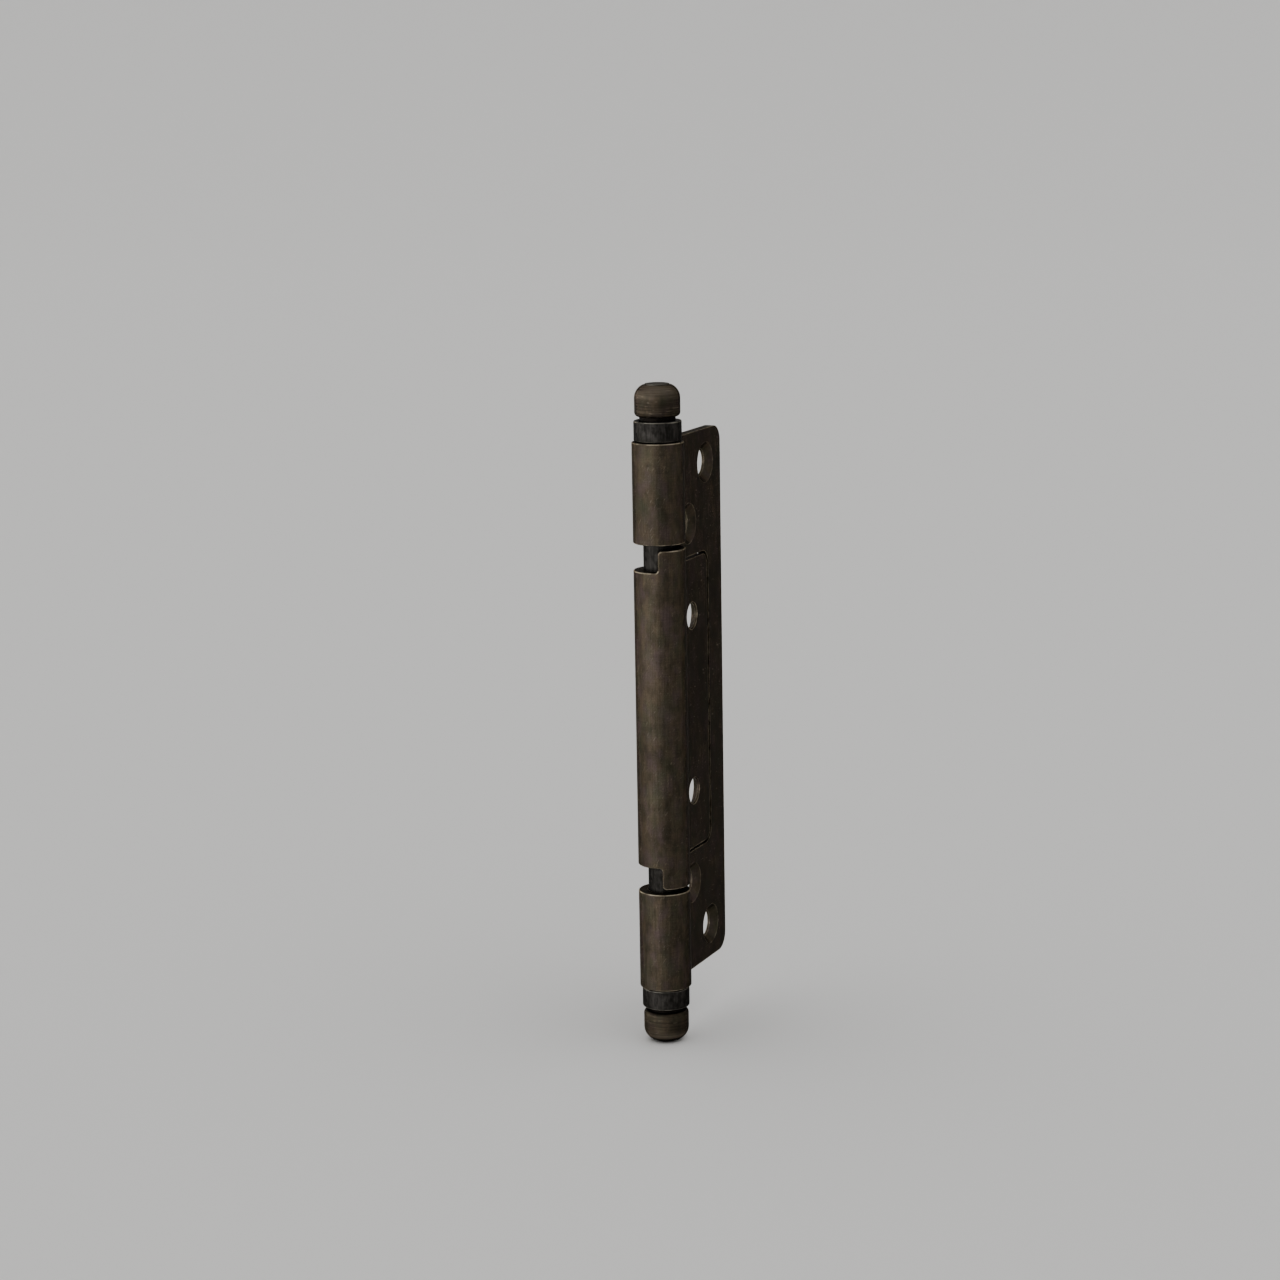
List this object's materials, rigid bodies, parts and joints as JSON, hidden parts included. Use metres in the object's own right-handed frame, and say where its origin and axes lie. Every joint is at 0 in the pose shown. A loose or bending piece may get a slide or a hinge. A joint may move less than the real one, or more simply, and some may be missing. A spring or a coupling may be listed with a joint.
{
  "type": "cabinet butt hinge",
  "caption": "Slim cabinet butt hinge with nesting screw-on leaves, a long notched middle knuckle, and a collar and a rounded button on each end of its pin.",
  "frame": {"origin": "on the stile leaf's mounting face, midway between the pair of screw holes nearest the barrel, at mid height", "axes": "+Z along the pin, towards the top button; -X out of the mounting face, into the stile; +X towards the door; -Y towards the room, where the barrel stands; +Y into the gap between stile and door"},
  "size_m": [0.0059, 0.0205, 0.0772],
  "materials": {
    "bronze_patina": "rolled steel sheet, antique bronze plate, brushed along the barrel and worn bright at the rims",
    "turned_bronze": "turned steel, antique bronze plate with fine turning rings",
    "blackened_steel": "blackened steel, satin, with a bright worn edge"
  },
  "bodies": {
    "stile": {"stile_leaf": "bronze_patina"},
    "door": {"door_leaf": "bronze_patina"},
    "pin": {"hinge_pin": "blackened_steel", "top_collar": "blackened_steel", "bottom_collar": "blackened_steel", "top_button": "turned_bronze", "bottom_button": "turned_bronze"}
  },
  "joints": [
    {"name": "door_swing", "type": "hinge", "parent": "stile", "child": "door", "pos_m": [0.00055, -0.0074, 0], "axis": [0, 0, -1], "range_deg": [0, 180]},
    {"name": "pin_spin", "type": "hinge", "parent": "stile", "child": "pin", "pos_m": [0.00055, -0.0074, 0], "axis": [0, 0, 1], "continuous": true}
  ]
}
